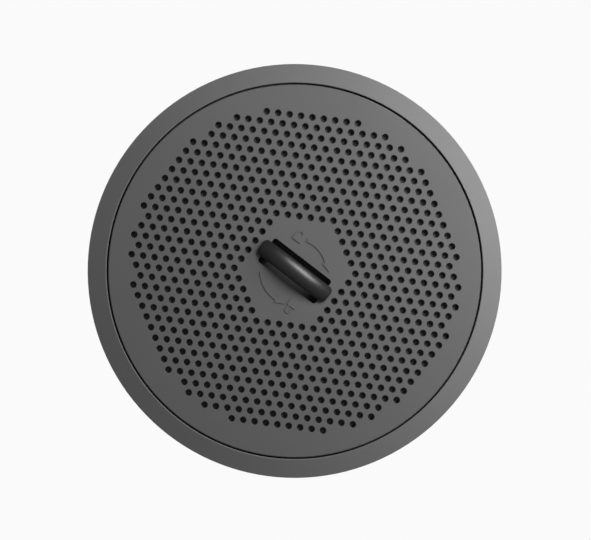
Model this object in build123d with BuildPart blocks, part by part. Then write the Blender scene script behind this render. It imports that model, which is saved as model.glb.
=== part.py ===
"""Round twist-lock vent cover, seated in its mounting ring.

A perforated cover drops into a ring, turns clockwise by a few degrees so that its four lugs
pass under a keeper, and is turned back and lifted out by the arched grip at its centre.
Millimetres, +Z up, origin at the middle of the face that the ring rests on, grip along X.
"""

import math
import os

from build123d import *

# ------------------------------------------------------------------ driving dimensions
# overall
ring_radius = 120.0  # outside of the bezel
face_height = 22.0  # resting face to the cover's face
cover_radius = 107.9
seam_gap = 1.0  # open seam between cover and bezel
touch_gap = 0.1  # between a piece and the face that it lands on
turn_gap = 0.4  # between pieces that slide or turn past each other

# bezel
rim_drop = 3.04  # from the cover's face down to the bezel's outer edge
rim_land = 0.5  # flat strip inside the sloping face
rim_edge_radius = 1.2
lip_edge_radius = 0.45
bezel_wall = 2.4
bezel_skin = 2.6
boss_radius = 3.0
bezel_pilot_depth = 4.4

# base ring and its gasket
throat_step = 0.5  # base opening inside the bayonet ring's flange
base_wall = 2.3
base_flange = 3.0
base_fit = 0.3  # base wall inside the bezel wall
gasket_inset = 3.5  # from the host's screws to the gasket
gasket_width = 5.5
gasket_thickness = 2.0
gasket_proud = 0.8
gasket_fit = 0.2
host_screw_count = 6
host_screw_inset = 4.5  # from the base opening to the screws
host_screw_radius = 2.25

# keeper ring, with a notch for each lug
lug_count = 4
lug_angle = 20.0
lug_play_angle = 3.0  # free angle each side of a lug in its notch
lug_length = 5.0
lug_thickness = 3.0
lock_angle = 25.0  # turn from notch to stop
stop_angle = 2.0
stop_play_angle = 1.5
keeper_thickness = 3.2
keeper_inner_gap = 1.6  # skirt to keeper
keeper_radial_gap = 0.6  # lug tip to the bottom of its notch

# long screws that hold bezel, keeper and base together
stack_screw_count = 8
stack_screw_inset = 3.1  # from the cover's opening to the screws
stack_screw_radius = 1.5
stack_head_radius = 2.75
stack_head_height = 2.0
post_radius = 3.8
counterbore_depth = 3.6

# cover panel
panel_thickness = 2.5
panel_edge_radius = 0.5
perforation_radius = 1.85
perforation_chamfer = 0.3
perforation_pitch = 6.66
field_end_margin = 4.4  # perforated field inside the skirt, along X
field_side_margin = 5.4  # and along Y
blank_margin = 0.6  # plain plastic between the grip recess and the nearest holes
panel_boss_radius = 2.6
panel_boss_height = 4.5
panel_pilot_depth = 5.5
panel_screw_count = 8
panel_screw_inset = 2.9  # from the skirt to the screws

# lock and unlock marks on the panel
mark_height = 0.6
mark_inset = 10.7  # from the recess to the middle of the marks
lock_arrow = (105, 52)  # polar angles where the curved bar starts and ends
unlock_arrow = (219, 274)
closed_lock_place = 121.3  # polar angles of the padlocks
open_lock_place = -55.3
arrow_width = 1.9
arrow_head_width = 4.9
arrow_head_length = 5.7
padlock_width = 5.6
padlock_height = 4.0
shackle_radius = 1.9
shackle_width = 0.9
closed_lock_lift = 0.9  # straight part of the shackle
open_lock_lift = 2.4
open_lock_gap = 1.4  # from the free end of the open shackle to its lock

# bayonet ring under the panel
skirt_outer_radius = 102.4
skirt_wall = 2.4
lug_ring_bottom = 8.8
flange_width = 5.5
flange_thickness = 2.2
bead_height = 1.1
bead_depth = 1.0

# small screws of the cover
small_screw_radius = 1.1
small_head_radius = 2.1
small_head_height = 1.6
small_screw_length = 6.4

# slip seal, which lifts with the cover and doesn't turn
seal_lip_height = 1.8
seal_pad_inset = 0.8  # from the keeper's inner edge to the pad
seal_key_play_angle = 2.0
seal_key_depth = 2.7

# dust screen and its frame
screen_thickness = 0.3
screen_hub_lap = 2.2  # screen over the hub
screen_inset = 2.0  # from the skirt to the screen's edge
frame_thickness = 2.3
frame_rim_width = 4.7
frame_hub_gap = 1.4  # round the grip cup's flange
frame_hub_width = 2.8
spoke_count = 8
spoke_width = 2.4

# grip recess
recess_length = 41.6
recess_width = 17.0
recess_corner = 1.7
recess_depth = 12.0
cup_wall = 1.8
cup_flange = 2.0
cup_flange_corner = 4.0

# arched grip
grip_landing = 3.7  # each end of the grip on the panel
grip_width = 10.4
grip_corner = 2.8
grip_rise = 10.0
grip_end_height = 3.4
grip_thickness = 4.4
grip_crown = 2.0
grip_edge_radius = 1.2
leg_length = 5.6
leg_width = 8.4
leg_corner = 1.0
leg_play = 0.2  # leg to the end of the recess
grip_screw_radius = 1.3
grip_head_radius = 2.5
grip_head_height = 1.9
grip_pilot_depth = 8.0
grip_washer_radius = 3.3
grip_washer_thickness = 0.8

# screws in general
screw_clearance = 0.25  # screw to a plain hole
thread_clearance = 0.05  # screw to its pilot hole
driver_slot_width = 0.9
driver_slot_depth = 1.1

cut_past = 1.0  # how far a cutter runs past the face that it cuts
near = 0.1  # how close to a place an edge lies to be picked

# ------------------------------------------------------------------ places worked out from them
opening_radius = cover_radius + seam_gap
rim_slope = math.atan(rim_drop / (ring_radius - opening_radius - rim_land))
stack_screw_circle = opening_radius + stack_screw_inset
panel_bottom = face_height - panel_thickness
flange_bottom = gasket_proud
base_wall_outer = ring_radius - bezel_wall - base_fit
base_wall_inner = base_wall_outer - base_wall
skirt_inner_radius = skirt_outer_radius - skirt_wall
flange_inner_radius = skirt_inner_radius - flange_width
panel_screw_circle = skirt_inner_radius - panel_screw_inset
throat_radius = flange_inner_radius - throat_step
host_screw_circle = throat_radius + host_screw_inset
gasket_inner_radius = host_screw_circle + gasket_inset
lug_top = lug_ring_bottom + lug_thickness
lug_tip_radius = skirt_outer_radius + lug_length
keeper_bottom = lug_top + turn_gap
keeper_top = keeper_bottom + keeper_thickness
keeper_inner_radius = skirt_outer_radius + keeper_inner_gap
seal_pad_inner_radius = keeper_inner_radius + seal_pad_inset
notch_radius = lug_tip_radius + keeper_radial_gap
notch_angle = lug_angle + 2 * lug_play_angle
flange_top = panel_bottom - panel_boss_height
frame_bottom = flange_top + 2 * touch_gap
frame_top = frame_bottom + frame_thickness
seal_top = panel_bottom - 2 * touch_gap
seal_bottom = keeper_top + touch_gap
seal_lip_bottom = seal_top - seal_lip_height
cup_floor_top = face_height - recess_depth
cup_floor_bottom = cup_floor_top - cup_wall
leg_centre = recess_length / 2 - leg_play - leg_length / 2
grip_length = recess_length + 2 * grip_landing
cup_length = recess_length + 2 * (cup_wall + cup_flange)
cup_width = recess_width + 2 * (cup_wall + cup_flange)
cup_reach = cup_flange_corner + math.hypot(
    cup_length / 2 - cup_flange_corner, cup_width / 2 - cup_flange_corner
)
frame_rim_outer_radius = skirt_inner_radius - turn_gap
frame_rim_inner_radius = frame_rim_outer_radius - frame_rim_width
frame_hub_inner_radius = cup_reach + frame_hub_gap
frame_hub_outer_radius = frame_hub_inner_radius + frame_hub_width
screen_inner_radius = frame_hub_outer_radius - screen_hub_lap
screen_outer_radius = skirt_inner_radius - screen_inset
mark_circle = recess_width / 2 + mark_inset
stack_screw_start = 180 / stack_screw_count
spoke_start = 180 / spoke_count

column_step = perforation_pitch * math.sqrt(3) / 2
field_half_length = skirt_inner_radius - field_end_margin
field_half_width = skirt_inner_radius - field_side_margin
blank_half_columns = math.ceil((cup_length / 2 + perforation_radius + blank_margin) / column_step)


def ring_sector(inner, outer, angle):
    """Face of a piece of a flat ring, centred on +X."""
    with BuildSketch() as sector:
        with BuildLine():
            inside = CenterArc((0, 0), inner, -angle / 2, angle)
            outside = CenterArc((0, 0), outer, -angle / 2, angle)
            Line(inside @ 0, outside @ 0)
            Line(inside @ 1, outside @ 1)
        make_face()
    return sector.sketch


def pan_screw(head_radius, head_height, shank_radius, shank_length):
    """Screw with its head's seat at Z = 0 and its shank pointing up."""
    with BuildPart() as screw:
        with BuildSketch(Plane.XZ) as head:
            with BuildLine():
                Polyline(
                    (0, -head_height),
                    (head_radius, -head_height),
                    (head_radius, 0),
                    (0, 0),
                    close=True,
                )
            make_face()
            rim = head.vertices().group_by(Axis.Y)[0].sort_by(Axis.X)[-1]
            fillet(rim, radius=head_height / 2)
        revolve(axis=Axis.Z)
        with BuildSketch(Plane.XY):
            Circle(shank_radius)
        extrude(amount=shank_length)
        tip = screw.edges().group_by(Axis.Z)[-1]
        chamfer(tip, length=shank_radius / 2)
        with BuildSketch(Plane.XY.offset(-head_height)):
            Rectangle(head_radius * 1.2, driver_slot_width)
            Rectangle(driver_slot_width, head_radius * 1.2)
        extrude(amount=driver_slot_depth, mode=Mode.SUBTRACT)
    return screw.part


# ------------------------------------------------------------------ bezel
def rim_height(radius):
    """Height of the bezel's sloping face at a radius."""
    run = radius - opening_radius - rim_land
    return face_height - run * math.tan(rim_slope)


with BuildPart() as bezel:
    skin_drop = bezel_skin / math.cos(rim_slope)
    inner_wall = opening_radius + bezel_wall
    outer_wall = ring_radius - bezel_wall
    with BuildSketch(Plane.XZ) as bezel_section:
        with BuildLine():
            Polyline(
                (opening_radius, face_height),
                (opening_radius + rim_land, face_height),
                (ring_radius, rim_height(ring_radius)),
                (ring_radius, flange_bottom),
                (outer_wall, flange_bottom),
                (outer_wall, rim_height(outer_wall) - skin_drop),
                (inner_wall, rim_height(inner_wall) - skin_drop),
                (inner_wall, keeper_top),
                (opening_radius, keeper_top),
                close=True,
            )
        make_face()
        highest = bezel_section.vertices().group_by(Axis.Y)[-1]
        outermost = bezel_section.vertices().group_by(Axis.X)[-1]
        fillet(highest.sort_by(Axis.X)[0], radius=lip_edge_radius)
        fillet(outermost.sort_by(Axis.Y)[-1], radius=rim_edge_radius)
    revolve(axis=Axis.Z)
    boss_height = rim_height(stack_screw_circle + boss_radius) - skin_drop - keeper_top
    with BuildSketch(Plane.XY.offset(keeper_top)):
        with PolarLocations(stack_screw_circle, stack_screw_count, start_angle=stack_screw_start):
            Circle(boss_radius)
    extrude(amount=boss_height + bezel_skin / 3)
    with BuildSketch(Plane.XY.offset(keeper_top)):
        with PolarLocations(stack_screw_circle, stack_screw_count, start_angle=stack_screw_start):
            Circle(stack_screw_radius + thread_clearance)
    extrude(amount=bezel_pilot_depth, mode=Mode.SUBTRACT)

# ------------------------------------------------------------------ keeper ring
with BuildPart() as keeper_ring:
    with BuildSketch(Plane.XY.offset(keeper_bottom)):
        Circle(base_wall_outer)
        Circle(keeper_inner_radius, mode=Mode.SUBTRACT)
        with PolarLocations(0, lug_count):
            notch = ring_sector(keeper_inner_radius - cut_past, notch_radius, notch_angle)
            add(notch, mode=Mode.SUBTRACT)
        with PolarLocations(stack_screw_circle, stack_screw_count, start_angle=stack_screw_start):
            Circle(stack_screw_radius + screw_clearance, mode=Mode.SUBTRACT)
    extrude(amount=keeper_thickness)
    stop_centre = -(lug_angle / 2 + lock_angle + stop_play_angle + stop_angle / 2)
    with BuildSketch(Plane.XY.offset(keeper_bottom)):
        with PolarLocations(0, lug_count, start_angle=stop_centre):
            add(ring_sector(keeper_inner_radius, notch_radius, stop_angle))
    extrude(amount=-lug_thickness)

# ------------------------------------------------------------------ base ring
with BuildPart() as base_ring:
    with BuildSketch(Plane.XY.offset(flange_bottom)):
        Circle(base_wall_outer)
        Circle(base_wall_inner, mode=Mode.SUBTRACT)
        with PolarLocations(stack_screw_circle, stack_screw_count, start_angle=stack_screw_start):
            Circle(post_radius)
    extrude(amount=keeper_bottom - flange_bottom)
    with BuildSketch(Plane.XY.offset(flange_bottom)):
        Circle(base_wall_outer)
        Circle(throat_radius, mode=Mode.SUBTRACT)
    extrude(amount=base_flange)
    with BuildSketch(Plane.XY.offset(flange_bottom)):
        Circle(gasket_inner_radius + gasket_width + gasket_fit)
        Circle(gasket_inner_radius - gasket_fit, mode=Mode.SUBTRACT)
    extrude(amount=gasket_thickness - gasket_proud, mode=Mode.SUBTRACT)
    with BuildSketch(Plane.XY.offset(flange_bottom)):
        with PolarLocations(stack_screw_circle, stack_screw_count, start_angle=stack_screw_start):
            Circle(stack_screw_radius + screw_clearance)
        with PolarLocations(host_screw_circle, host_screw_count):
            Circle(host_screw_radius)
    extrude(amount=keeper_bottom - flange_bottom, mode=Mode.SUBTRACT)
    with BuildSketch(Plane.XY.offset(flange_bottom)):
        with PolarLocations(stack_screw_circle, stack_screw_count, start_angle=stack_screw_start):
            Circle(stack_head_radius + screw_clearance)
    extrude(amount=counterbore_depth, mode=Mode.SUBTRACT)

with BuildPart() as base_gasket:
    with BuildSketch(Plane.XY):
        Circle(gasket_inner_radius + gasket_width)
        Circle(gasket_inner_radius, mode=Mode.SUBTRACT)
    extrude(amount=gasket_thickness)

with BuildPart() as ring_screws:
    stack_seat = flange_bottom + counterbore_depth
    stack_reach = keeper_top + bezel_pilot_depth * 0.9 - stack_seat
    with Locations((0, 0, stack_seat)):
        with PolarLocations(stack_screw_circle, stack_screw_count, start_angle=stack_screw_start):
            add(pan_screw(stack_head_radius, stack_head_height, stack_screw_radius, stack_reach))

# ------------------------------------------------------------------ slip seal
with BuildPart() as seal_ring:
    seal_inner = skirt_outer_radius + turn_gap
    seal_outer = opening_radius - turn_gap
    with BuildSketch(Plane.XZ):
        with BuildLine():
            Polyline(
                (seal_inner, seal_top),
                (seal_outer, seal_top),
                (seal_outer, seal_bottom),
                (seal_pad_inner_radius, seal_bottom),
                (seal_pad_inner_radius, seal_lip_bottom),
                (seal_inner, seal_lip_bottom),
                close=True,
            )
        make_face()
    revolve(axis=Axis.Z)
    key_angle = notch_angle - 2 * seal_key_play_angle
    with BuildSketch(Plane.XY.offset(seal_bottom)):
        with PolarLocations(0, lug_count):
            add(ring_sector(seal_pad_inner_radius, notch_radius - turn_gap, key_angle))
    extrude(amount=-seal_key_depth)

# ------------------------------------------------------------------ perforated panel
columns = math.floor(field_half_length / column_step)
rows = math.floor(field_half_width / perforation_pitch)
blank_half_width = (blank_half_columns + 0.5) * perforation_pitch


def is_perforated(x, y):
    """True where the staggered grid has a hole: inside the field, outside the plain hexagon."""
    in_field = math.hypot(x / field_half_length, y / field_half_width) <= 1
    beside = abs(x) > (blank_half_columns - 0.5) * column_step
    beyond = abs(y) + abs(x) / math.sqrt(3) > blank_half_width - perforation_pitch / 4
    return in_field and (beside or beyond)


perforations = []
for column in range(-columns, columns + 1):
    stagger = 0 if column % 2 else 0.5
    for row in range(-rows - 1, rows + 1):
        place = (column * column_step, (row + stagger) * perforation_pitch)
        if is_perforated(*place):
            perforations.append(place)


def turn_arrow(start, end):
    """Curved arrow round the grip, from one polar angle to the other, its head past the end."""
    sweep = end - start
    side = math.copysign(1, sweep)
    with BuildSketch() as arrow:
        with BuildLine():
            inside = CenterArc((0, 0), mark_circle - arrow_width / 2, start, sweep)
            outside = CenterArc((0, 0), mark_circle + arrow_width / 2, start, sweep)
            Line(inside @ 0, outside @ 0)
            Line(inside @ 1, outside @ 1)
        make_face()
        with BuildLine(Plane.XY.rotated((0, 0, end))):
            Polyline(
                (mark_circle - arrow_head_width / 2, 0),
                (mark_circle + arrow_head_width / 2, 0),
                (mark_circle, side * arrow_head_length),
                close=True,
            )
        make_face()
    return arrow.sketch


def padlock(lift, free_gap):
    """Padlock centred on its body: shackle raised by lift, its left leg cut free by a gap."""
    body_top = padlock_height / 2
    leg_middle = body_top + lift / 2
    bend = body_top + lift
    inside = shackle_radius - shackle_width
    with BuildSketch() as mark:
        Rectangle(padlock_width, padlock_height)
        with Locations((0, bend)):
            Circle(shackle_radius)
        with Locations((0, leg_middle)):
            Rectangle(2 * shackle_radius, lift)
        with Locations((0, bend)):
            Circle(inside, mode=Mode.SUBTRACT)
        with Locations((0, leg_middle)):
            Rectangle(2 * inside, lift, mode=Mode.SUBTRACT)
        Rectangle(padlock_width, padlock_height)
        if free_gap:
            with Locations((-shackle_radius, body_top + free_gap / 2)):
                Rectangle(2 * inside, free_gap, mode=Mode.SUBTRACT)
    return mark.sketch


def mark_location(polar_angle, turn):
    """Place on the circle of marks, turned about its own middle."""
    angle = math.radians(polar_angle)
    return Location((mark_circle * math.cos(angle), mark_circle * math.sin(angle), 0), (0, 0, turn))


def perforation_punch():
    """Cutter for one hole, with the small chamfer at the panel's face."""
    mouth = perforation_radius + 2 * perforation_chamfer
    with BuildPart() as punch:
        with BuildSketch(Plane.XZ):
            with BuildLine():
                Polyline(
                    (0, panel_bottom - cut_past),
                    (perforation_radius, panel_bottom - cut_past),
                    (perforation_radius, face_height - perforation_chamfer),
                    (mouth, face_height + perforation_chamfer),
                    (0, face_height + perforation_chamfer),
                    close=True,
                )
            make_face()
        revolve(axis=Axis.Z)
    return punch.part


with BuildPart() as vent_panel:
    with BuildSketch(Plane.XY.offset(panel_bottom)):
        Circle(cover_radius)
    extrude(amount=panel_thickness)
    fillet(vent_panel.edges().group_by(Axis.Z)[-1], radius=panel_edge_radius)
    with BuildSketch(Plane.XY.offset(panel_bottom)):
        RectangleRounded(recess_length, recess_width, recess_corner)
    extrude(amount=panel_thickness, mode=Mode.SUBTRACT)
    with BuildSketch(Plane.XY.offset(panel_bottom)):
        with PolarLocations(panel_screw_circle, panel_screw_count):
            Circle(panel_boss_radius)
    extrude(amount=-panel_boss_height)
    with BuildSketch(Plane.XY.offset(flange_top)):
        with PolarLocations(panel_screw_circle, panel_screw_count):
            Circle(small_screw_radius + thread_clearance)
    extrude(amount=panel_pilot_depth, mode=Mode.SUBTRACT)
    with BuildSketch(Plane.XY.offset(face_height)):
        add(turn_arrow(*lock_arrow))
        add(turn_arrow(*unlock_arrow))
        with Locations(mark_location(closed_lock_place, 0)):
            add(padlock(closed_lock_lift, 0))
        with Locations(mark_location(open_lock_place, 180)):
            add(padlock(open_lock_lift, open_lock_gap))
    extrude(amount=mark_height)
    with Locations(*perforations):
        add(perforation_punch(), mode=Mode.SUBTRACT)

# ------------------------------------------------------------------ bayonet ring
with BuildPart() as bayonet_ring:
    with BuildSketch(Plane.XY.offset(lug_ring_bottom)):
        Circle(skirt_outer_radius)
        Circle(skirt_inner_radius, mode=Mode.SUBTRACT)
    extrude(amount=panel_bottom - lug_ring_bottom)
    with BuildSketch(Plane.XY.offset(flange_top)):
        Circle(skirt_inner_radius)
        Circle(flange_inner_radius, mode=Mode.SUBTRACT)
    extrude(amount=-flange_thickness)
    with BuildSketch(Plane.XY.offset(lug_ring_bottom)):
        with PolarLocations(0, lug_count):
            add(ring_sector(skirt_outer_radius - skirt_wall / 2, lug_tip_radius, lug_angle))
    extrude(amount=lug_thickness)
    lug_corners = (
        bayonet_ring.edges()
        .filter_by(Axis.Z)
        .filter_by(lambda e: math.hypot(e.center().X, e.center().Y) > lug_tip_radius - near)
    )
    fillet(lug_corners, radius=lug_length / 3)
    with BuildSketch(Plane.XY.offset(seal_lip_bottom - turn_gap)):
        Circle(skirt_outer_radius + bead_depth)
        Circle(skirt_inner_radius + skirt_wall / 2, mode=Mode.SUBTRACT)
    extrude(amount=-bead_height)
    with BuildSketch(Plane.XY.offset(flange_top)):
        with PolarLocations(panel_screw_circle, panel_screw_count):
            Circle(small_screw_radius + screw_clearance)
    extrude(amount=-flange_thickness, mode=Mode.SUBTRACT)

with BuildPart() as bayonet_screws:
    with Locations((0, 0, flange_top - flange_thickness)):
        with PolarLocations(panel_screw_circle, panel_screw_count):
            add(pan_screw(small_head_radius, small_head_height, small_screw_radius, small_screw_length))

# ------------------------------------------------------------------ dust screen in its frame
with BuildPart() as screen_frame:
    with BuildSketch(Plane.XY.offset(frame_bottom)):
        Circle(frame_rim_outer_radius)
        Circle(frame_rim_inner_radius, mode=Mode.SUBTRACT)
        with PolarLocations(0, spoke_count, start_angle=spoke_start):
            with Locations(((frame_hub_inner_radius + frame_rim_inner_radius) / 2, 0)):
                Rectangle(frame_rim_inner_radius - frame_hub_inner_radius, spoke_width)
        Circle(frame_hub_outer_radius)
        Circle(frame_hub_inner_radius, mode=Mode.SUBTRACT)
    extrude(amount=frame_thickness)
    with BuildSketch(Plane.XY.offset(frame_top)):
        Circle(frame_rim_outer_radius)
        Circle(screen_outer_radius + touch_gap, mode=Mode.SUBTRACT)
    extrude(amount=panel_bottom - touch_gap - frame_top)
    with BuildSketch(Plane.XY.offset(frame_bottom)):
        with PolarLocations(panel_screw_circle, panel_screw_count):
            Circle(panel_boss_radius + turn_gap)
    extrude(amount=panel_boss_height, mode=Mode.SUBTRACT)

with BuildPart() as dust_screen:
    with BuildSketch(Plane.XY.offset(frame_top)):
        Circle(screen_outer_radius)
        Circle(screen_inner_radius, mode=Mode.SUBTRACT)
        with PolarLocations(panel_screw_circle, panel_screw_count):
            Circle(panel_boss_radius + turn_gap, mode=Mode.SUBTRACT)
    extrude(amount=screen_thickness)

# ------------------------------------------------------------------ grip recess
with BuildPart() as grip_cup:
    with BuildSketch(Plane.XY.offset(cup_floor_bottom)):
        RectangleRounded(
            recess_length + 2 * cup_wall, recess_width + 2 * cup_wall, recess_corner + cup_wall
        )
    extrude(amount=panel_bottom - cup_floor_bottom)
    with BuildSketch(Plane.XY.offset(panel_bottom)):
        RectangleRounded(cup_length, cup_width, cup_flange_corner)
    extrude(amount=-cup_wall)
    with BuildSketch(Plane.XY.offset(cup_floor_top)):
        RectangleRounded(recess_length, recess_width, recess_corner)
    extrude(amount=panel_bottom - cup_floor_top, mode=Mode.SUBTRACT)
    with BuildSketch(Plane.XY.offset(cup_floor_bottom)):
        with Locations((-leg_centre, 0), (leg_centre, 0)):
            Circle(grip_screw_radius + screw_clearance)
    extrude(amount=cup_wall, mode=Mode.SUBTRACT)

# ------------------------------------------------------------------ arched grip
arch_rise = grip_rise - grip_end_height
arch_radius = ((grip_length / 2) ** 2 + arch_rise**2) / (2 * arch_rise)
arch_centre = face_height + grip_rise - arch_radius

with BuildPart() as grip:
    with BuildSketch(Plane.XY.offset(face_height)):
        RectangleRounded(grip_length, grip_width, grip_corner)
    extrude(amount=grip_rise + cut_past)
    with BuildSketch(Plane.YZ):
        with BuildLine():
            shoulder = arch_centre + arch_radius - grip_crown
            Line((grip_width, arch_centre), (-grip_width, arch_centre))
            Line((-grip_width, arch_centre), (-grip_width, shoulder - 3 * grip_crown))
            Line((-grip_width, shoulder - 3 * grip_crown), (-grip_width / 2, shoulder))
            ThreePointArc(
                (-grip_width / 2, shoulder), (0, arch_centre + arch_radius), (grip_width / 2, shoulder)
            )
            Line((grip_width / 2, shoulder), (grip_width, shoulder - 3 * grip_crown))
            Line((grip_width, shoulder - 3 * grip_crown), (grip_width, arch_centre))
        make_face()
    revolve(axis=Axis((0, 0, arch_centre), (0, 1, 0)), mode=Mode.INTERSECT)
    upper_edges = grip.edges().filter_by(lambda e: e.bounding_box().min.Z > face_height + near)
    fillet(upper_edges.filter_by(Axis.Z, reverse=True), radius=grip_edge_radius)
    with BuildSketch(Plane.XZ) as arch_space:
        with Locations((0, arch_centre)):
            Circle(arch_radius - grip_thickness)
        with Locations((0, face_height)):
            Rectangle(
                recess_length, 2 * grip_rise, align=(Align.CENTER, Align.CENTER), mode=Mode.INTERSECT
            )
    extrude(amount=grip_width, both=True, mode=Mode.SUBTRACT)
    with BuildSketch(Plane.XY.offset(cup_floor_top)):
        with Locations((-leg_centre, 0), (leg_centre, 0)):
            RectangleRounded(leg_length, leg_width, leg_corner)
    extrude(amount=face_height + grip_end_height - cup_floor_top)
    with BuildSketch(Plane.XY.offset(cup_floor_top)):
        with Locations((-leg_centre, 0), (leg_centre, 0)):
            Circle(grip_screw_radius + thread_clearance)
    extrude(amount=grip_pilot_depth, mode=Mode.SUBTRACT)

with BuildPart() as grip_washers:
    with BuildSketch(Plane.XY.offset(cup_floor_bottom)):
        with Locations((-leg_centre, 0), (leg_centre, 0)):
            Circle(grip_washer_radius)
            Circle(grip_screw_radius + screw_clearance, mode=Mode.SUBTRACT)
    extrude(amount=-grip_washer_thickness)

with BuildPart() as grip_screws:
    grip_reach = grip_washer_thickness + cup_wall + grip_pilot_depth * 0.85
    with Locations((0, 0, cup_floor_bottom - grip_washer_thickness)):
        with Locations((-leg_centre, 0), (leg_centre, 0)):
            add(pan_screw(grip_head_radius, grip_head_height, grip_screw_radius, grip_reach))

# ------------------------------------------------------------------ files
pieces = {
    "bezel": bezel,
    "keeper_ring": keeper_ring,
    "base_ring": base_ring,
    "base_gasket": base_gasket,
    "ring_screws": ring_screws,
    "seal_ring": seal_ring,
    "vent_panel": vent_panel,
    "bayonet_ring": bayonet_ring,
    "bayonet_screws": bayonet_screws,
    "screen_frame": screen_frame,
    "dust_screen": dust_screen,
    "grip_cup": grip_cup,
    "grip": grip,
    "grip_washers": grip_washers,
    "grip_screws": grip_screws,
}
os.makedirs("parts", exist_ok=True)
for name, piece in pieces.items():
    piece.part.label = name
    export_step(piece.part, f"parts/{name}.step")
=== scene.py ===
# %% [markdown]
# # A twist-lock vent cover, rendered around its CAD frame
#
# The object is a round air cover of charcoal plastic: a perforated panel that drops into a
# ring, turns a little to lock, and lifts out by a glossy arched grip. The CAD model already
# holds every size and every moving part. This notebook gives each part the finish of the real
# one, remakes the woven screen and the foam gasket, and sets up a plain studio.

import math
import random

import bpy
from mathutils import Euler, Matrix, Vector


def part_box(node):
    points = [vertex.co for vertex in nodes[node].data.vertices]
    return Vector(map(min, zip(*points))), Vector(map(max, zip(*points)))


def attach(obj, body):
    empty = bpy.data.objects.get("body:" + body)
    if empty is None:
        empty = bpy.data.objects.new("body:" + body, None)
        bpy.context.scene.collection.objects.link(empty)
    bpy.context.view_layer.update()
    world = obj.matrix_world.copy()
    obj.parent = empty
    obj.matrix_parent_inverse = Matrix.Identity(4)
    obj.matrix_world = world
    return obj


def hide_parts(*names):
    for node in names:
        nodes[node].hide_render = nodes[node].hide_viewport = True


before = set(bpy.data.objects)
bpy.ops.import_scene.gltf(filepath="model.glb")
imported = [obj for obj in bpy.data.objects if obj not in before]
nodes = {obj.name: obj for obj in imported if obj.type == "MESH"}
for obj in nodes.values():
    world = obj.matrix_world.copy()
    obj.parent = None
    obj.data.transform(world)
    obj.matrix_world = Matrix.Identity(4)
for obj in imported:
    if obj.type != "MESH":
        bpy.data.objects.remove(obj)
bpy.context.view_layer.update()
print("nodes:", sorted(nodes))

# %% [markdown]
# ## Sizes that everything else uses
#
# Positions come from the boxes of the CAD nodes, so that a piece always lands on its part.
# Blender works in metres and finishes are described in millimetres, so one millimetre gets
# a name of its own.

# %% Read the main sizes
MM = 0.001
_, bezel_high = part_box("bezel")
_, gasket_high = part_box("base_gasket")
screen_low, screen_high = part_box("dust_screen")
ring_radius = bezel_high.x
face_height = bezel_high.z
print("ring radius mm:", round(ring_radius / MM, 2), "face height mm:", round(face_height / MM, 2))

# %% [markdown]
# ## Colours as a maker writes them
#
# Paint and plastic charts give sRGB hex values. Blender's shaders work in linear light, so
# one function turns a hex value into a linear colour.


# %% Turn a hex colour into linear light
def linear_colour(hex_value):
    """Linear RGBA of an sRGB hex value such as 5A5A5A."""
    channels = []
    for start in (0, 2, 4):
        value = int(hex_value[start:start + 2], 16) / 255
        if value <= 0.04045:
            channels.append(value / 12.92)
        else:
            channels.append(((value + 0.055) / 1.055) ** 2.4)
    return (*channels, 1.0)


print("mid grey:", [round(c, 3) for c in linear_colour("808080")])

# %% [markdown]
# ## Helpers for shader nodes
#
# A procedural material is a small graph, and so is the light of the room. `add_node` adds one
# node to its owner, a material or the world, sets its properties and input values, and links
# its inputs, so that each graph below reads like a recipe. `start_material` makes a material
# with its Principled shader, and `feed` links finished branches of the graph to that shader.


# %% Add and link shader nodes
def add_node(owner, kind, values=None, links=None, **properties):
    """Adds a node of a kind. values sets inputs, and links feeds inputs from (node, output)."""
    tree = owner.node_tree
    node = tree.nodes.new(kind)
    for name, value in properties.items():
        setattr(node, name, value)
    for name, value in (values or {}).items():
        node.inputs[name].default_value = value
    for name, (source, output) in (links or {}).items():
        tree.links.new(source.outputs[output], node.inputs[name])
    return node


def start_material(name, base, roughness, **sockets):
    """A new material with one Principled shader. Returns the material and its shader."""
    material = bpy.data.materials.new(name)
    material.use_nodes = True
    shader = material.node_tree.nodes["Principled BSDF"]
    shader.inputs["Base Color"].default_value = linear_colour(base)
    shader.inputs["Roughness"].default_value = roughness
    for socket, value in sockets.items():
        shader.inputs[socket.replace("_", " ")].default_value = value
    return material, shader


def feed(material, shader, **sources):
    """Links nodes to the shader's inputs: each source is (node, output)."""
    for name, (source, output) in sources.items():
        socket = shader.inputs[name.replace("_", " ")]
        material.node_tree.links.new(source.outputs[output], socket)


print("helpers ready:", [f.__name__ for f in (add_node, start_material, feed)])

# %% [markdown]
# ## Moulded plastic and rubber
#
# A mould leaves its own surface on the plastic: a fine eroded grain on the body parts, a satin
# one on hidden structure, and a polish on the grip. The grain is a small bump that also varies
# the gloss, and a slow cloudiness keeps a large face from looking printed. All of these
# mouldings have an index of refraction of about 1.5, as most plastics and rubbers do.


# %% Moulded plastic
plastic_ior = 1.5
grain_strength = 0.35
grain_detail = 2.0
cloud_detail = 3.0


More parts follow.
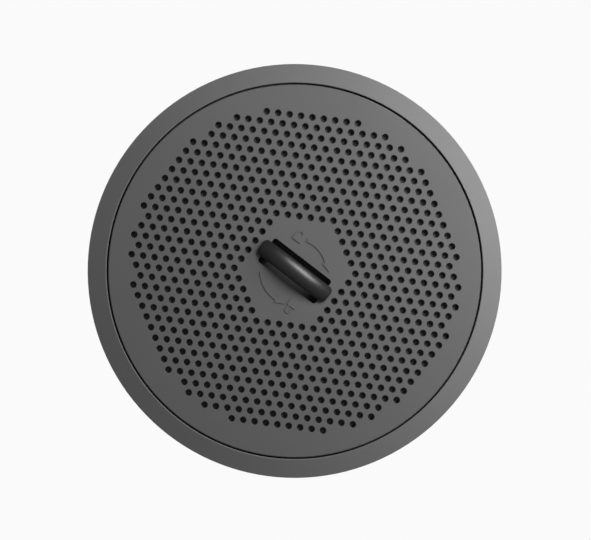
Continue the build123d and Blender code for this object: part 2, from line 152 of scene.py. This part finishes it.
def moulded_plastic(name, base, shade, roughness, spread, grain_mm, grain_height_mm, cloud_mm):
    """Moulded plastic with the tool's grain and a faint cloudiness in its tone."""
    material, shader = start_material(name, base, roughness, IOR=plastic_ior)
    place = add_node(material, "ShaderNodeTexCoord")
    grain, cloud = [
        add_node(
            material,
            "ShaderNodeTexNoise",
            {"Scale": 1 / (size_mm * MM), "Detail": detail},
            {"Vector": (place, "Object")},
        )
        for size_mm, detail in ((grain_mm, grain_detail), (cloud_mm, cloud_detail))
    ]
    bump = add_node(
        material,
        "ShaderNodeBump",
        {"Strength": grain_strength, "Distance": grain_height_mm * MM},
        {"Height": (grain, "Fac")},
    )
    gloss = add_node(
        material,
        "ShaderNodeMapRange",
        {"To Min": roughness - spread, "To Max": roughness + spread},
        {"Value": (grain, "Fac")},
    )
    tone = add_node(
        material,
        "ShaderNodeMix",
        {"A": linear_colour(base), "B": linear_colour(shade)},
        {"Factor": (cloud, "Fac")},
        data_type="RGBA",
    )
    feed(
        material,
        shader,
        Base_Color=(tone, "Result"),
        Roughness=(gloss, "Result"),
        Normal=(bump, "Normal"),
    )
    return material


print("recipe ready:", moulded_plastic.__name__)

# %% [markdown]
# ## The five plastics and the rubber of this object
#
# On the real object the face, the rim and the grip are three different mouldings, and that is
# what the eye tells apart: their greys are close, but their gloss is not. Painting one colour on
# all of them would lose the grip. So each gets its own two tones, roughness and grain. The
# spread is how far the gloss varies, and the cloud is how wide the faint patches of tone are.
# Real mould grain is finer than the widths given here for the face and the rim. It is drawn
# coarser, because a finer one would vanish at this distance.

# %% Mix the plastics
# Spark-eroded charcoal: an even, dry grey face that still shows the light's direction.
panel_abs = moulded_plastic(
    "charcoal_abs_spark_eroded",
    base="444444", shade="3F3F3F", roughness=0.5, spread=0.05,
    grain_mm=0.5, grain_height_mm=0.02, cloud_mm=40,
)
# The same plastic from a finer tool: a little brighter, so the rim stands out from the panel.
bezel_abs = moulded_plastic(
    "charcoal_abs_fine_grain",
    base="505050", shade="4C4C4C", roughness=0.62, spread=0.05,
    grain_mm=0.35, grain_height_mm=0.02, cloud_mm=40,
)
# Satin structure parts: black, with a soft sheen that shows ribs and edges.
black_pp = moulded_plastic(
    "black_polypropylene_satin",
    base="242424", shade="1E1E1E", roughness=0.42, spread=0.05,
    grain_mm=0.8, grain_height_mm=0.015, cloud_mm=30,
)
# The recess cup: black and matte, its tone pushed darker as painted shade for the pocket under
# the grip, so that it stays a quiet dark pocket.
recess_abs_painted_shade = moulded_plastic(
    "black_abs_matte_painted_shade",
    base="1A1A1A", shade="161616", roughness=0.55, spread=0.05,
    grain_mm=0.4, grain_height_mm=0.02, cloud_mm=20,
)
# The grip: worn smooth, with one soft highlight along its crown.
grip_abs = moulded_plastic(
    "black_abs_soft_gloss",
    base="161616", shade="131313", roughness=0.36, spread=0.03,
    grain_mm=2.0, grain_height_mm=0.004, cloud_mm=15,
)
# Solid rubber: almost no sheen, so the seam around the cover reads as a dark line.
seal_rubber = moulded_plastic(
    "black_epdm_rubber",
    base="131313", shade="0F0F0F", roughness=0.75, spread=0.05,
    grain_mm=0.3, grain_height_mm=0.02, cloud_mm=10,
)
plastics = (panel_abs, bezel_abs, black_pp, recess_abs_painted_shade, grip_abs, seal_rubber)
print("plastics:", [m.name for m in plastics])

# %% [markdown]
# ## Foam
#
# A gasket of open-cell foam is a field of tiny bubbles cut across. They could be modelled, but
# at this size only their shadows matter, so a Voronoi texture, which splits space into cells,
# dents the surface and darkens the middle of each cell.


# %% Cell foam
foam_roughness = 0.92
foam_ior = 1.45
cell_strength = 0.8


def cell_foam(name, base, shade, cell_mm, cell_depth_mm):
    """Open-cell foam: soft dark dents a cell apart."""
    material, shader = start_material(name, base, foam_roughness, IOR=foam_ior)
    place = add_node(material, "ShaderNodeTexCoord")
    cells = add_node(
        material,
        "ShaderNodeTexVoronoi",
        {"Scale": 1 / (cell_mm * MM)},
        {"Vector": (place, "Object")},
    )
    bump = add_node(
        material,
        "ShaderNodeBump",
        {"Strength": cell_strength, "Distance": cell_depth_mm * MM},
        {"Height": (cells, "Distance")},
    )
    tone = add_node(
        material,
        "ShaderNodeMix",
        {"A": linear_colour(shade), "B": linear_colour(base)},
        {"Factor": (cells, "Distance")},
        data_type="RGBA",
    )
    feed(material, shader, Base_Color=(tone, "Result"), Normal=(bump, "Normal"))
    return material


# Gasket foam: the roughest, darkest surface of the object.
gasket_foam = cell_foam(
    "black_polyurethane_foam", base="222222", shade="101010", cell_mm=0.7, cell_depth_mm=0.25
)
print("foam:", gasket_foam.name)

# %% [markdown]
# ## Woven nylon
#
# The screen is a plain weave of nylon thread. Modelling each thread would take hundreds of
# thousands of faces, which nobody sees behind the perforations. So two crossed wave textures
# make the threads, and where neither thread is high the colour falls to a painted shade, the
# dark seen through the opening. Blender's wave texture multiplies every length by twenty before
# it takes the sine, and its scale is worked out from the thread pitch with that in mind. Real
# dust screens are often woven finer. This one is drawn at 0.8 mm, so that its threads can show.


# %% Woven cloth
nylon_roughness = 0.55
nylon_ior = 1.53
thread_strength = 0.8
wave_multiplier = 20


def woven_nylon(name, thread, opening, pitch_mm, thread_height_mm):
    """Plain weave of nylon thread, pitch_mm from thread to thread."""
    material, shader = start_material(name, thread, nylon_roughness, IOR=nylon_ior)
    place = add_node(material, "ShaderNodeTexCoord")
    wave_scale = math.tau / wave_multiplier / (pitch_mm * MM)
    warp, weft = [
        add_node(
            material,
            "ShaderNodeTexWave",
            {"Scale": wave_scale},
            {"Vector": (place, "Object")},
            bands_direction=axis,
        )
        for axis in ("X", "Y")
    ]
    threads = add_node(material, "ShaderNodeMath", operation="MAXIMUM")
    material.node_tree.links.new(warp.outputs["Fac"], threads.inputs[0])
    material.node_tree.links.new(weft.outputs["Fac"], threads.inputs[1])
    bump = add_node(
        material,
        "ShaderNodeBump",
        {"Strength": thread_strength, "Distance": thread_height_mm * MM},
        {"Height": (threads, "Value")},
    )
    # Between the threads the colour falls to painted shade, the dark seen through the weave's
    # openings.
    tone = add_node(
        material,
        "ShaderNodeMix",
        {"A": linear_colour(opening), "B": linear_colour(thread)},
        {"Factor": (threads, "Value")},
        data_type="RGBA",
    )
    feed(material, shader, Base_Color=(tone, "Result"), Normal=(bump, "Normal"))
    return material


# Screen cloth: grey thread that catches light at the bottom of each perforation, and a near-black
# between the threads that is painted shade.
screen_nylon = woven_nylon(
    "grey_nylon_weave", thread="3C3C3C", opening="161616", pitch_mm=0.8, thread_height_mm=0.12
)
print("weave:", screen_nylon.name)

# %% [markdown]
# ## Plated steel
#
# The screws and washers are steel with a thin bright coat of zinc, which settles in small
# crystalline patches of different gloss. A metal's look is its reflection, so the colour hardly
# changes, and the patches mostly move the roughness. Metals keep Blender's own index of
# refraction.


# %% Zinc plate
zinc_roughness = 0.3
zinc_smoothest = 0.22
zinc_roughest = 0.42
patch_detail = 4.0


def plated_steel(name, base, shade, patch_mm):
    """Zinc-plated steel with small patches of different gloss."""
    material, shader = start_material(name, base, zinc_roughness, Metallic=1.0)
    place = add_node(material, "ShaderNodeTexCoord")
    patches = add_node(
        material,
        "ShaderNodeTexNoise",
        {"Scale": 1 / (patch_mm * MM), "Detail": patch_detail},
        {"Vector": (place, "Object")},
    )
    tone = add_node(
        material,
        "ShaderNodeMix",
        {"A": linear_colour(base), "B": linear_colour(shade)},
        {"Factor": (patches, "Fac")},
        data_type="RGBA",
    )
    gloss = add_node(
        material,
        "ShaderNodeMapRange",
        {"To Min": zinc_smoothest, "To Max": zinc_roughest},
        {"Value": (patches, "Fac")},
    )
    feed(material, shader, Base_Color=(tone, "Result"), Roughness=(gloss, "Result"))
    return material


# Screws and washers: the only bright metal, hidden under the cover.
zinc_steel = plated_steel("zinc_plated_steel", base="B2B4B8", shade="9C9DA0", patch_mm=1.2)
print("steel:", zinc_steel.name)

# %% [markdown]
# ## Give every CAD part its finish
#
# The CAD parts keep their shape. Each one only swaps its plain material for a real one. Two of
# them, the foam gasket and the dust screen, are remade further down. They get their finish here
# all the same, so that no part is left plain.

# %% Assign the finishes
finishes = {
    "bezel": bezel_abs,
    "vent_panel": panel_abs,
    "keeper_ring": black_pp,
    "base_ring": black_pp,
    "bayonet_ring": black_pp,
    "screen_frame": black_pp,
    "seal_ring": seal_rubber,
    "base_gasket": gasket_foam,
    "dust_screen": screen_nylon,
    "grip_cup": recess_abs_painted_shade,
    "grip": grip_abs,
    "ring_screws": zinc_steel,
    "bayonet_screws": zinc_steel,
    "grip_washers": zinc_steel,
    "grip_screws": zinc_steel,
}
for name, finish in finishes.items():
    mesh = nodes[name].data
    mesh.materials.clear()
    mesh.materials.append(finish)
print("finished parts:", len(finishes))

# %% [markdown]
# ## Helpers for round pieces
#
# The screen and the gasket are both rings. Blender could spin a section or bend a flat strip,
# but both pieces change a little on the way round, so each gives its own rule for a point, and
# one function walks round the ring and joins the points into faces. A second one turns points
# and faces into an object with its finish, and the table uses it too.


# %% Make round pieces from points
def polar(radius, angle, height):
    """A point at a radius, an angle and a height."""
    return (radius * math.cos(angle), radius * math.sin(angle), height)


def ring_grid(spans, steps, point):
    """Vertices and faces of a closed ring: point(span share, angle) gives each place."""
    places = []
    faces = []
    for span in range(spans + 1):
        for step in range(steps):
            places.append(point(span / spans, math.tau * step / steps))
    for span in range(spans):
        low, high = span * steps, (span + 1) * steps
        for step in range(steps):
            after = (step + 1) % steps
            faces.append((low + step, high + step, high + after, low + after))
    return places, faces


def mesh_object(name, places, faces, finish):
    """A smooth-shaded object made from points and faces, linked to the scene."""
    mesh = bpy.data.meshes.new(name)
    mesh.from_pydata(places, [], faces)
    mesh.materials.append(finish)
    mesh.shade_smooth()
    made = bpy.data.objects.new(name, mesh)
    bpy.context.scene.collection.objects.link(made)
    return made


print("round helpers ready:", [f.__name__ for f in (polar, ring_grid, mesh_object)])

# %% [markdown]
# ## Woven dust screen
#
# The screen is cloth, heat-welded to its frame at the rim and at the hub, so it is stretched
# between them. It only sags a little in the middle of the span, by about half its thickness,
# and least in line with the screw bosses that pin its edge. A cloth simulation has nothing to
# settle here, so the sag is drawn. The cloth's edge steps in round the eight screw bosses of
# the cover.

# %% Measure the screen
boss_count = 8
boss_circle = 97.1 * MM
boss_room = 3.0 * MM
screen_outer = screen_high.x
screen_inner = 28.5 * MM
screen_level = (screen_low.z + screen_high.z) / 2
screen_thickness = 0.2 * MM
screen_sag = 0.125 * MM
screen_spans = 24
screen_steps = 720
print("screen mm:", round(screen_inner / MM, 1), "to", round(screen_outer / MM, 1))


# %% Build the screen cloth
def cloth_edge(angle):
    """Radius of the cloth's edge, which steps in round a screw boss."""
    step = math.tau / boss_count
    away = (angle + step / 2) % step - step / 2
    across = boss_circle * math.sin(away)
    if abs(across) >= boss_room:
        return screen_outer
    return boss_circle * math.cos(away) - math.sqrt(boss_room**2 - across**2)


def cloth_point(share, angle):
    """A point of the stretched cloth, from hub (share 0) to rim (share 1)."""
    radius = screen_inner + (cloth_edge(angle) - screen_inner) * share
    between_bosses = (1 - math.cos(boss_count * angle)) / 2
    slack = screen_sag * math.sin(math.pi * share) * between_bosses
    return polar(radius, angle, screen_level - slack)


cloth_places, cloth_faces = ring_grid(screen_spans, screen_steps, cloth_point)
screen_cloth = mesh_object("screen_cloth", cloth_places, cloth_faces, screen_nylon)
thickness = screen_cloth.modifiers.new("thickness", "SOLIDIFY")
thickness.thickness = screen_thickness
thickness.offset = 0
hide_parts("dust_screen")
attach(screen_cloth, "cover")

# %% [markdown]
# ## Foam gasket
#
# A die-cut foam ring is square on the drawing, but its cut edges bulge a little and its faces
# are never quite level. A bevelled CAD ring would look like hard plastic. So the section is a
# superellipse, which is a rectangle with soft corners, swept round the ring, and a few slow
# waves of random phase vary its height along the way.

# %% Measure the gasket
random.seed(7)
gasket_width = 5.5 * MM
gasket_middle = gasket_high.x - gasket_width / 2
gasket_height = gasket_high.z
gasket_unevenness = 0.02
gasket_squareness = 5
gasket_spans = 40
gasket_steps = 360
fewest_waves, most_waves, wave_sets = 5, 23, 4
waves = []
for _ in range(wave_sets):
    waves.append((random.randint(fewest_waves, most_waves), random.uniform(0, math.tau)))
print("gasket height mm:", round(gasket_height / MM, 2), "waves round it:", [w[0] for w in waves])


# %% Build the gasket
def softened(value):
    """A sine or cosine pushed towards its ends, which squares a circle."""
    return math.copysign(abs(value) ** (2 / gasket_squareness), value)


def gasket_point(share, angle):
    """A point of the foam ring; share goes once round its section."""
    across = softened(math.cos(math.tau * share))
    up = softened(math.sin(math.tau * share))
    uneven = sum(math.sin(count * angle + start) for count, start in waves) / len(waves)
    height = gasket_height * (1 - gasket_unevenness + gasket_unevenness * uneven)
    return polar(gasket_middle + across * gasket_width / 2, angle, height * (1 + up) / 2)


foam_places, foam_faces = ring_grid(gasket_spans, gasket_steps, gasket_point)
foam_ring = mesh_object("foam_gasket", foam_places, foam_faces, gasket_foam)
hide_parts("base_gasket")
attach(foam_ring, "ring")
print("foam gasket:", len(foam_faces), "faces")

# %% [markdown]
# ## Studio
#
# A product like this is lit by a softbox high on one side, which draws one soft highlight on
# the grip, and by a lower lamp on the same side, which makes the panel fall from light to
# dark across its width. The lower lamp is hidden from reflections, or it would draw a second,
# hard streak on the grip. Places are given as the camera sees the object, across and up, so
# that a lamp is easy to move, and one function turns them with the camera's roll.

# %% Place things as the camera sees them
bpy.context.scene.view_settings.view_transform = "Standard"
roll = math.radians(37.58)


def seen(across, up, height):
    """A place given as the camera sees it: across to the right, up the picture, and height."""
    turned = Vector((across, up, 0))
    turned.rotate(Euler((0, 0, roll)))
    return (turned.x, turned.y, height)


print("camera roll degrees:", round(math.degrees(roll), 2))


# %% Lights
def softbox(name, place, width, depth, watts):
    """A rectangular area light that points at the middle of the object."""
    light = bpy.data.lights.new(name, "AREA")
    light.shape = "RECTANGLE"
    light.size = width
    light.size_y = depth
    light.energy = watts
    lamp = bpy.data.objects.new(name, light)
    bpy.context.scene.collection.objects.link(lamp)
    lamp.location = place
    lamp.rotation_euler = (-Vector(place)).to_track_quat("-Z", "Y").to_euler()
    return lamp


key_place = seen(across=0.36, up=0.29, height=0.6)
key = softbox("key_softbox", key_place, width=0.5, depth=0.3, watts=7)
side_place = seen(across=0.42, up=0.08, height=0.2)
side = softbox("side_lamp", side_place, width=0.2, depth=0.2, watts=2.7)
side.visible_glossy = False
print("lights:", key.name, side.name)

# %% [markdown]
# ## Room
#
# The rest of the light comes from the room, which is bright overhead and dark at the horizon,
# so that the face is filled from above and the rim keeps its dark outline. It is a small graph
# on the world: the height of the direction looked in picks the strength. The camera itself
# sees plain backdrop white, whichever way it looks.

# %% Light the room
backdrop_white = "FAFAFA"
horizon_light = 0.07
ceiling_light = 0.4
horizon_height = 0.15

world = bpy.data.worlds.new("studio")
world.use_nodes = True
sky = world.node_tree.nodes["Background"]
sky.inputs["Color"].default_value = (1, 1, 1, 1)
direction = add_node(world, "ShaderNodeTexCoord")
upward = add_node(world, "ShaderNodeSeparateXYZ", None, {"Vector": (direction, "Generated")})
ceiling = add_node(
    world,
    "ShaderNodeMapRange",
    {"From Min": horizon_height, "To Min": horizon_light, "To Max": ceiling_light},
    {"Value": (upward, "Z")},
)
world_path = add_node(world, "ShaderNodeLightPath")
backdrop = add_node(
    world,
    "ShaderNodeMix",
    {"B": linear_colour(backdrop_white)[0]},
    {"Factor": (world_path, "Is Camera Ray"), "A": (ceiling, "Result")},
)
world.node_tree.links.new(backdrop.outputs["Result"], sky.inputs["Strength"])
bpy.context.scene.world = world
print("room light:", horizon_light, "at the horizon,", ceiling_light, "overhead")

# %% [markdown]
# ## Table
#
# A studio shows such a part on a lit sheet. A plain white plane would throw light back on the
# rim and grey it, so this one looks white to the camera and is dark to every other ray. A mix
# of two shaders, switched by the kind of ray, does that.

# %% Table
table_reach = 4.0
table_corners = [(-1, -1), (1, -1), (1, 1), (-1, 1)]
table_places = [(x * table_reach, y * table_reach, 0) for x, y in table_corners]
lit_sheet, sheet_shader = start_material("lit_white_table", "202020", 0.9)
glow = add_node(lit_sheet, "ShaderNodeEmission", {"Color": linear_colour(backdrop_white)})
path = add_node(lit_sheet, "ShaderNodeLightPath")
look = add_node(lit_sheet, "ShaderNodeMixShader", None, {"Fac": (path, "Is Camera Ray")})
lit_sheet.node_tree.links.new(sheet_shader.outputs["BSDF"], look.inputs[1])
lit_sheet.node_tree.links.new(glow.outputs["Emission"], look.inputs[2])
lit_output = lit_sheet.node_tree.nodes["Material Output"]
lit_sheet.node_tree.links.new(look.outputs["Shader"], lit_output.inputs["Surface"])
table = mesh_object("table", table_places, [(0, 1, 2, 3)], lit_sheet)
print("table reach m:", table_reach)

# %% [markdown]
# ## Painted shade in the mouth of the duct
#
# In use the ring covers the end of a duct, and it is dark below the perforations. On the bare
# table they would glint white instead. A dark disc under the ring, a hair above the table, is
# painted shade that stands for the darkness inside the duct's mouth.

# %% Duct opening
duct_margin = 20 * MM
duct_lift = 0.05 * MM
duct_sides = 96
duct_radius = ring_radius - duct_margin
duct_places = []
for side_number in range(duct_sides):
    duct_places.append(polar(duct_radius, math.tau * side_number / duct_sides, duct_lift))
# The disc's near-black colour is painted shade, the dark inside the duct.
duct_shade, _ = start_material("duct_painted_shade", "0A0A0A", 0.95)
duct = mesh_object("duct_mouth_painted_shade", duct_places, [tuple(range(duct_sides))], duct_shade)
print("duct radius mm:", round(duct_radius / MM, 1))

# %% [markdown]
# ## Camera
#
# The camera looks straight down, rolled so that the grip runs from upper left to lower right,
# from far enough away that the ring shows no inner wall. The lens is worked out from the share
# of the picture's width that the ring should fill, so that the distance can change without
# changing the size of the ring in the picture.

# %% Camera
camera_distance = 1.5
camera_across, camera_up = 0.5 * MM, 0.55 * MM
sensor_width = 36
ring_share = 0.702
frame_width = 2 * ring_radius / ring_share
camera_data = bpy.data.cameras.new("camera")
camera_data.sensor_width = sensor_width
camera_data.lens = sensor_width * (camera_distance - face_height) / frame_width
camera = bpy.data.objects.new("camera", camera_data)
camera.location = seen(camera_across, camera_up, camera_distance)
camera.rotation_euler = (0, 0, roll)
bpy.context.scene.collection.objects.link(camera)
bpy.context.scene.camera = camera
print("lens mm:", round(camera_data.lens, 1))
